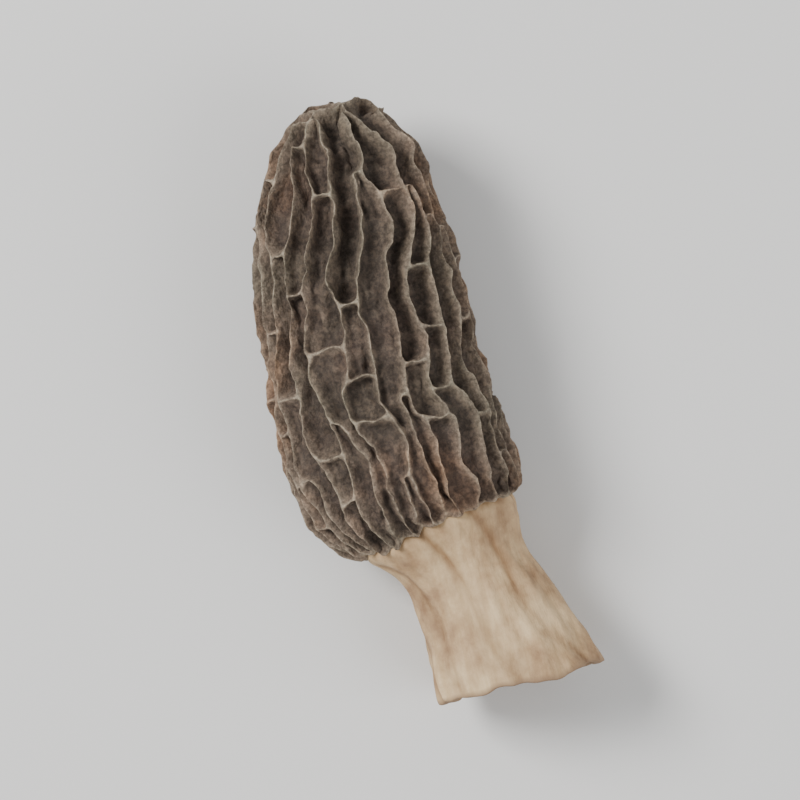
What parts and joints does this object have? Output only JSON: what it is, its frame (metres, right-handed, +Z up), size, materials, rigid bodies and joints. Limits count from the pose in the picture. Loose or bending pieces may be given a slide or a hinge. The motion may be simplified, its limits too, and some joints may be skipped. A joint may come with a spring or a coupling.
{
  "type": "dried morel mushroom",
  "caption": "Whole dried morel, cut at the stem: a ribbed, pitted conical cap and a flared stem, one hollow piece, lying on its side.",
  "frame": {"origin": "on the surface that the morel lies on, below the middle of its length and width", "axes": "+X from the cut end of the stem to the tip of the cap; +Z up; the cap's fuller side is at +Y"},
  "size_m": [0.0478, 0.0198, 0.014],
  "materials": {
    "cap_flesh": "dry, leathery, matt flesh: dark brown pits under lighter grey-brown ribs",
    "stem_flesh": "dry, matt, cream to light tan flesh with soft lengthwise folds"
  },
  "bodies": {
    "root": {"morel": "cap_flesh"}
  },
  "joints": []
}
